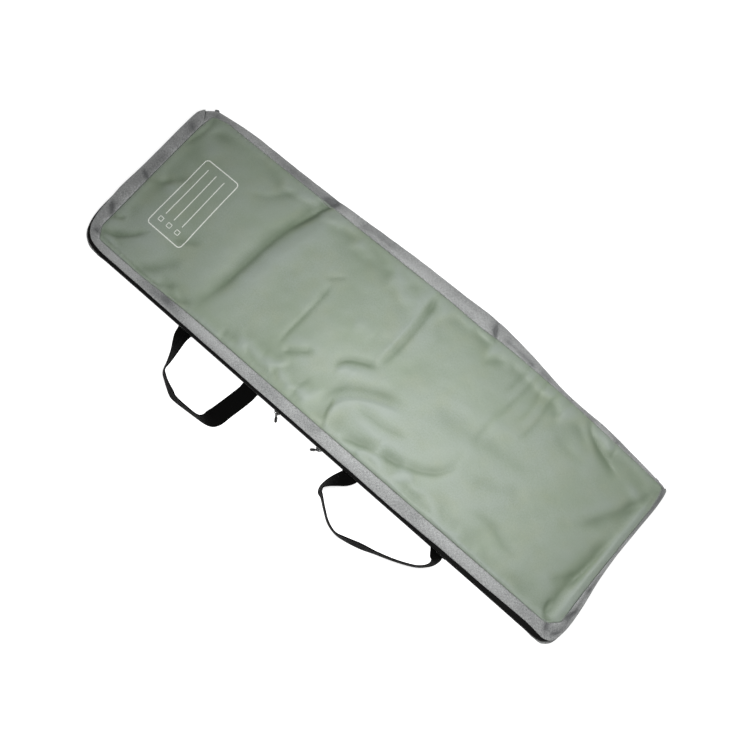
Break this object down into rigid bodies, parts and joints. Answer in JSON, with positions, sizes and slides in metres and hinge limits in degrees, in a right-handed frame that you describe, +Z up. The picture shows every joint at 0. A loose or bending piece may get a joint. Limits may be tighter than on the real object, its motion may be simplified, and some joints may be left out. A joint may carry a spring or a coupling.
{
  "type": "stretcher carry bag",
  "caption": "Long flat soft carry bag for a folding stretcher: green top and bottom panels, grey gusset, black zipper round three sides, webbing handles along the front.",
  "frame": {"origin": "on the ground under the middle of the bag, in the plane of the bottom face", "axes": "+X along the bag's length, +Y from the zipper front to the folded back, +Z up through the top panel"},
  "size_m": [1.2226, 0.5345, 0.0423],
  "materials": {
    "green_cloth": "coated nylon, semi-matt, fine weave",
    "grey_cloth": "heathered grey nylon, matt",
    "binding_tape": "grosgrain, matt",
    "zipper_tape": "woven tape, matt",
    "zipper_coil": "nylon coil, satin",
    "webbing": "woven polypropylene webbing, matt",
    "black_metal": "black enamel, satin"
  },
  "bodies": {
    "base": {"bottom_panel": "green_cloth", "lower_gusset_front": "grey_cloth", "lower_gusset_left_end": "grey_cloth", "lower_gusset_right_end": "grey_cloth", "back_gusset_lower_fold": "grey_cloth", "bottom_seam_binding": "binding_tape", "lower_zipper_tape": "zipper_tape", "lower_zipper_coil": "zipper_coil", "zipper_end_tab_left": "zipper_tape", "zipper_end_tab_right": "zipper_tape", "left_handle_outer_sewn_end": "webbing", "left_handle_inner_sewn_end": "webbing", "right_handle_inner_sewn_end": "webbing", "right_handle_outer_sewn_end": "webbing", "left_handle_outer_patch": "grey_cloth", "left_handle_inner_patch": "grey_cloth", "right_handle_inner_patch": "grey_cloth", "right_handle_outer_patch": "grey_cloth"},
    "lid": {"top_panel": "green_cloth", "upper_gusset_front": "grey_cloth", "upper_gusset_left_end": "grey_cloth", "upper_gusset_right_end": "grey_cloth", "back_gusset_upper_fold": "grey_cloth", "top_seam_binding": "binding_tape", "upper_zipper_tape": "zipper_tape", "upper_zipper_coil": "zipper_coil"},
    "left_slider": {"left_slider": "black_metal"},
    "left_pull": {"left_pull_tab": "black_metal"},
    "right_slider": {"right_slider": "black_metal"},
    "right_pull": {"right_pull_tab": "black_metal"},
    "left_handle": {"left_handle": "webbing"},
    "right_handle": {"right_handle": "webbing"}
  },
  "joints": [
    {"name": "lid_open", "type": "hinge", "parent": "base", "child": "lid", "pos_m": [0, 0.2235, 0.018], "axis": [-1, 0, 0], "range_deg": [0, 170]},
    {"name": "left_slider_run", "type": "slide", "parent": "base", "child": "left_slider", "axis": [-1, 0, 0], "range_m": [0, 0.478]},
    {"name": "right_slider_run", "type": "slide", "parent": "base", "child": "right_slider", "axis": [1, 0, 0], "range_m": [0, 0.52]},
    {"name": "left_pull_swing", "type": "hinge", "parent": "left_slider", "child": "left_pull", "pos_m": [-0.065, -0.1996, 0.0148], "axis": [0, 0, 1], "range_deg": [-100, 35]},
    {"name": "right_pull_swing", "type": "hinge", "parent": "right_slider", "child": "right_pull", "pos_m": [0.043, -0.1996, 0.0148], "axis": [0, 0, 1], "range_deg": [-15, 122]},
    {"name": "left_handle_lift", "type": "hinge", "parent": "base", "child": "left_handle", "pos_m": [-0.2245, -0.2025, 0.008], "axis": [-1, 0, 0], "range_deg": [0, 85]},
    {"name": "right_handle_lift", "type": "hinge", "parent": "base", "child": "right_handle", "pos_m": [0.231, -0.2025, 0.008], "axis": [-1, 0, 0], "range_deg": [0, 85]}
  ]
}
